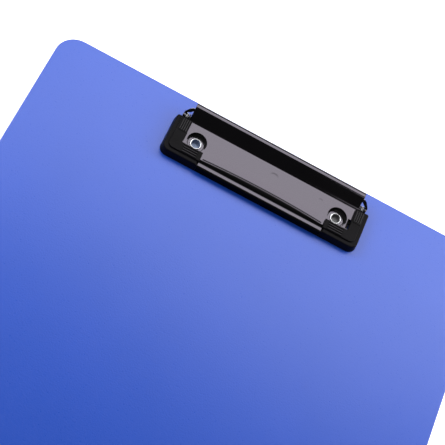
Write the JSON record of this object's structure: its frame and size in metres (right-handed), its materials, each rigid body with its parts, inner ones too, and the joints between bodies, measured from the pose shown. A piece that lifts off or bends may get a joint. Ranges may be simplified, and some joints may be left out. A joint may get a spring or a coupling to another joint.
{
  "type": "clipboard",
  "caption": "Flat plastic clipboard with a low sprung metal clip hinged on a rod across the top edge, with moulded corner caps on the jaw.",
  "frame": {"origin": "centre of the board's flat back face", "axes": "+Z out of the writing face, +Y along the board towards the clip, +X to the right seen from the front"},
  "size_m": [0.225, 0.315, 0.011],
  "materials": {
    "board_plastic": "fine matte grain",
    "black_steel": "gloss black",
    "jaw_steel": "gloss black",
    "rivet_steel": "bright plated",
    "pin_steel": "plain drawn rod",
    "spring_steel": "plated spring wire",
    "cap_plastic": "matte black"
  },
  "bodies": {
    "board": {"board": "board_plastic", "base_plate": "black_steel", "rivet_left": "rivet_steel", "rivet_right": "rivet_steel", "hinge_pin": "pin_steel", "spring_left": "spring_steel", "spring_right": "spring_steel"},
    "jaw": {"jaw_plate": "jaw_steel", "corner_cap_left": "cap_plastic", "corner_cap_right": "cap_plastic"}
  },
  "joints": [
    {"name": "jaw_hinge", "type": "hinge", "parent": "board", "child": "jaw", "pos_m": [0, 0.1463, 0.00506], "axis": [-1, 0, 0], "range_deg": [0, 40], "stiffness_Nm_per_rad": 0.25, "springref_deg": -40.11, "deforming": ["spring_left", "spring_right"]}
  ]
}
